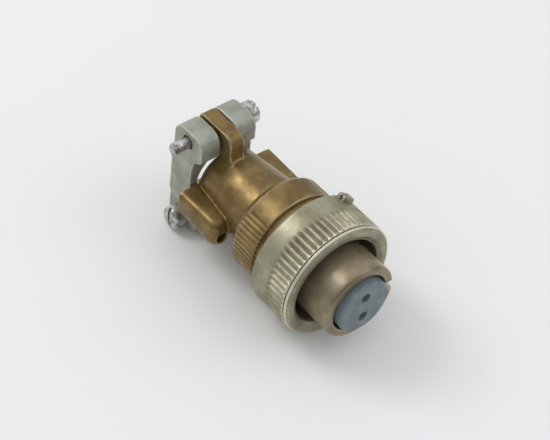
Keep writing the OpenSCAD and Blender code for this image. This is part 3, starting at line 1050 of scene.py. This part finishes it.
@dataclass
class Casting:
    """A cast piece: its CAD form with softened edges and a slightly uneven skin."""

    node: str
    body: Body
    slot: str
    material: bpy.types.Material
    voxel: float
    keep: float
    smooth: int = 5

    def build(self) -> bpy.types.Object:
        """Builds the casting from a copy of its CAD node.

        Returns:
            The finished piece.
        """
        mesh = cad_copy(self.node)
        remesh = {"mode": "VOXEL", "voxel_size": self.voxel * MM, "adaptivity": 0.0}
        mesh = applied(mesh, ("REMESH", remesh), ("SMOOTH", {"factor": 0.5, "iterations": self.smooth}),
                       ("DECIMATE", {"ratio": self.keep}))
        return settle(f"{self.node}_dressed", tidied(mesh), self.body, self.material,
                      [self.node], 80.0, (700.0, 2600.0, 2))


@dataclass
class Endbell:
    """The endbell's casting and the ribs of its grip ring. Sizes in millimetres."""

    material: bpy.types.Material
    ring: float = 10.4
    rib_depth: float = 0.42
    ribs: int = 64
    rib_share: float = 0.6
    rib_sunk: float = 0.35
    rib_proud: float = 0.02
    ring_front: float = -11.75
    ring_back: float = -17.5
    pad: float = 44.0

    def build(self) -> None:
        """Builds the casting, then its ribs."""
        Casting("endbell", Body.SHELL, "endbell_finish", self.material, 0.2, 0.55).build()
        half = math.tau * self.ring / self.ribs * self.rib_share / 2
        rib = block((self.ring_back, -half, -self.rib_depth - self.rib_sunk),
                    (self.ring_front, half, self.rib_proud))
        rib = softened(rib, 0.2, 3)
        band = rib_band_tree().run(rib, Count=self.ribs, Radius=self.ring * MM, Pad=math.radians(self.pad),
                                   Material=self.material)
        settle("endbell_ribs", band, Body.SHELL, self.material, (), 40.0,
               (1800.0, 9000.0, 0))


@dataclass
class ClampScrew:
    """A slotted clamp screw with a cut thread. Sizes in millimetres."""

    node: str
    body: Body
    material: bpy.types.Material
    slot_angle: float
    head_radius: float = 2.35
    head_height: float = 2.4
    shank: float = 1.42
    plain_length: float = 4.0
    thread_height: float = 0.34
    pitch: float = 0.635
    slot_width: float = 0.64
    slot_depth: float = 1.0

    def lathed(self, tip: float) -> bpy.types.Mesh:
        """Turns the screw's head, shank and core, with the head's seat at 0 and the tip at -tip.

        Args:
            tip: Distance from the seat to the tip.

        Returns:
            The screw's mesh along X, in metres.
        """
        head, wide, shank, plain = self.head_height, self.head_radius, self.shank, self.plain_length
        core = shank - 0.32
        outline = [
            (head, 0.0, 0), (head - 0.12, wide * 0.7, 0.5), (head - 0.6, wide, 0.5), (0.0, wide, 0.15),
            (0.0, shank, 0.1), (-plain, shank, 0), (-plain - 0.2, core, 0), (-tip + 0.5, core, 0),
            (-tip, shank - 0.62, 0.1), (-tip, 0.0, 0),
        ]
        screw = tidied(swept(densified(rounded(outline, 5), 0.8), 64))
        turn = Matrix.Rotation(math.radians(self.slot_angle), 4, "X")
        half = self.slot_width / 2
        screw = cut(screw, [block((head - self.slot_depth, -half, -4), (head + 1, half, 4), turn)])
        return softened(screw, 0.07, 2, 50)

    def build(self) -> None:
        """Builds the screw along its own axis and moves it to the frame's place."""
        low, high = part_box(self.node)
        centre_x = (low.x + high.x) / 2 / MM
        centre_z = (low.z + high.z) / 2 / MM
        tip = (high.y - low.y) / MM - self.head_height
        screw = self.lathed(tip)
        length = tip - self.plain_length - 0.6
        ridge = wound(length, self.pitch, self.shank - self.thread_height, self.thread_height, 40,
                      self.material, 0.35 - tip)
        head_far = self.node.startswith("upper")
        seat = (high.y / MM - self.head_height) if head_far else (low.y / MM + self.head_height)
        side = 1 if head_far else -1
        place = Matrix.Translation((centre_x * MM, seat * MM, centre_z * MM))
        place = place @ Matrix.Rotation(side * math.pi / 2, 4, "Z")
        for part, mesh, stands_for in (("head", screw, [self.node]), ("thread", ridge, [])):
            mesh.transform(place)
            settle(f"{self.node}_{part}", tidied(mesh), self.body, self.material, stands_for, 50.0)


@dataclass(frozen=True)
class Lamp:
    """A square area lamp: its place and size in metres, its power in watts."""

    name: str
    spot: Corner
    size: float
    power: float
    colour: Colour


@dataclass
class Studio:
    """The pale floor, soft lights and camera."""

    view_from: Corner = (0.18751, -0.19857, 0.29466)
    right: Corner = (0.6238, 0.77652, 0.08879)
    up: Corner = (-0.60032, 0.40329, 0.69063)
    back: Corner = (0.50048, -0.48412, 0.71774)
    lens: float = 144.0
    room_light: float = 0.7
    wall_light: float = 0.14
    ceiling_light: float = 1.0
    ceiling: Corner = (-0.45, 0.1, 0.89)
    aim: Corner = (-0.015, 0.0, 0.0)
    lamps: tuple[Lamp, ...] = (Lamp("key", (-0.6, -0.29, 0.66), 0.38, 2.3, (1.0, 0.985, 0.96)),
                               Lamp("fill", (0.55, 0.62, 0.75), 0.9, 2.0, (0.97, 0.98, 1.0)))

    def camera(self) -> None:
        """Sets the camera at the viewing place."""
        data = bpy.data.cameras.new("camera")
        data.lens = self.lens
        data.sensor_width = 36.0
        data.clip_start = 0.01
        made = bpy.data.objects.new("camera", data)
        columns = Matrix((self.right, self.up, self.back)).transposed().to_4x4()
        made.matrix_world = Matrix.Translation(self.view_from) @ columns
        bpy.context.scene.collection.objects.link(made)
        bpy.context.scene.camera = made

    def light(self, lamp: Lamp) -> None:
        """Adds a lamp aimed at the part's middle.

        Args:
            lamp: The lamp to add.
        """
        data = bpy.data.lights.new(lamp.name, "AREA")
        data.size = lamp.size
        data.energy = lamp.power
        data.color = lamp.colour
        made = bpy.data.objects.new(lamp.name, data)
        made.location = lamp.spot
        way = Vector(self.aim) - Vector(lamp.spot)
        made.rotation_euler = way.to_track_quat("-Z", "Y").to_euler()
        bpy.context.scene.collection.objects.link(made)

    def floor(self) -> None:
        """Lays the pale floor under the part."""
        mesh = bpy.data.meshes.new("floor")
        reach, gap = 1.5, 0.02 * MM
        level = CAD_BOUNDS[0][2] - gap
        mesh.from_pydata([(-reach, -reach, level), (reach, -reach, level), (reach, reach, level),
                          (-reach, reach, level)], [], [(0, 1, 2, 3)])
        floor = as_object("floor", mesh)
        sheet = Sheet("floor_paper")
        mesh.materials.append(sheet.finish(Base_Color=srgb(243, 243, 242), Roughness=0.9,
                                           Specular_IOR_Level=0.1))

    def world(self) -> None:
        """Lights the room evenly, and lets glossy surfaces see a pale ceiling over darker walls."""
        world = bpy.data.worlds.new("room")
        world.use_nodes = True
        tree = world.node_tree
        tree.nodes.clear()

        def node(kind: str, values: dict, **settings: object) -> bpy.types.Node:
            """Adds a node to the world.

            Args:
                kind: The node's type.
                values: Values or output sockets for its inputs, by name or number.
                settings: Its own settings.

            Returns:
                The new node.
            """
            made = tree.nodes.new(kind)
            for key, value in settings.items():
                setattr(made, key, value)
            for key, value in values.items():
                if isinstance(value, bpy.types.NodeSocket):
                    tree.links.new(value, made.inputs[key])
                else:
                    made.inputs[key].default_value = value
            return made

        way = node("ShaderNodeTexCoord", {}).outputs["Generated"]
        height = node("ShaderNodeVectorMath", {0: way, 1: self.ceiling}, operation="DOT_PRODUCT")
        share = node("ShaderNodeMapRange",
                     {"Value": height.outputs["Value"], "From Min": -0.05, "From Max": 0.95,
                      "To Min": self.wall_light, "To Max": self.ceiling_light},
                     interpolation_type="SMOOTHSTEP").outputs[0]
        ray = node("ShaderNodeLightPath", {}).outputs["Is Glossy Ray"]
        strength = node("ShaderNodeMix", {0: ray, 2: self.room_light, 3: share}, data_type="FLOAT").outputs[0]
        glow = node("ShaderNodeBackground", {"Color": (0.96, 0.975, 1.0, 1), "Strength": strength})
        node("ShaderNodeOutputWorld", {"Surface": glow.outputs[0]})
        bpy.context.scene.world = world

    def build(self) -> None:
        """Builds the studio."""
        self.camera()
        self.floor()
        self.world()
        for lamp in self.lamps:
            self.light(lamp)
        bpy.context.scene.view_settings.view_transform = "Standard"


def dress(node: str, material: bpy.types.Material) -> None:
    """Gives a CAD node that stays its finish.

    Args:
        node: The node's name.
        material: Its finish.
    """
    mesh = frame["nodes"][node].data
    mesh.materials.clear()
    mesh.materials.append(material)


def main() -> None:
    """Builds the part's looks in order."""
    logging.basicConfig(level=logging.INFO, format="%(message)s")
    Studio().build()
    nut = CoatedMetal("nut_coating", srgb(160, 156, 132), srgb(138, 133, 108), srgb(218, 214, 198),
                      srgb(152, 146, 124), roughness=0.4, metallic=0.55).build()
    shell = CoatedMetal("shell_coating", srgb(148, 136, 112), srgb(128, 115, 90), srgb(205, 192, 172),
                        srgb(158, 132, 112), roughness=0.38, metallic=0.6, edge_wear=0.5).build()
    bronze = CoatedMetal("endbell_coating", srgb(134, 112, 66), srgb(110, 88, 48), srgb(196, 176, 140),
                         srgb(132, 96, 62), roughness=0.34, metallic=0.55, edge_wear=0.45).build()
    grey = CoatedMetal("saddle_coating", srgb(166, 168, 154), srgb(146, 148, 134), srgb(205, 203, 188),
                       srgb(152, 152, 136), roughness=0.5, metallic=0.4, edge_wear=0.5).build()
    steel = PlatedSteel("plated_steel", srgb(205, 205, 200), srgb(128, 126, 116)).build()
    brass = PlatedSteel("contact_plating", srgb(214, 180, 110), srgb(150, 120, 70)).build()
    rubber = Moulded("insert_skin", srgb(104, 116, 120), srgb(140, 148, 150)).build()
    black = Moulded("seal_skin", srgb(34, 32, 30), srgb(70, 66, 60)).build()
    CouplingNut(nut).build()
    PlugShell(shell).build()
    SocketInsert(rubber).build()
    Endbell(bronze).build()
    Casting("near_saddle", Body.NEAR, "saddle_finish", grey, 0.14, 0.7).build()
    Casting("far_saddle", Body.FAR, "saddle_finish", grey, 0.14, 0.7).build()
    ClampScrew("upper_clamp_screw", Body.UPPER_SCREW, steel, slot_angle=20).build()
    ClampScrew("lower_clamp_screw", Body.LOWER_SCREW, steel, slot_angle=10).build()
    for node, finish in (("wave_washer", steel), ("nut_retaining_ring", steel), ("mating_gasket", black),
                         ("endbell_seal", black), ("upper_contact", brass), ("lower_contact", brass),
                         ("upper_hood", steel), ("lower_hood", steel), ("rear_grommet", black),
                         ("grommet_ferrule", steel), ("upper_lock_washer", steel),
                         ("lower_lock_washer", steel)):
        dress(node, finish)


if __name__ == "__main__":
    main()
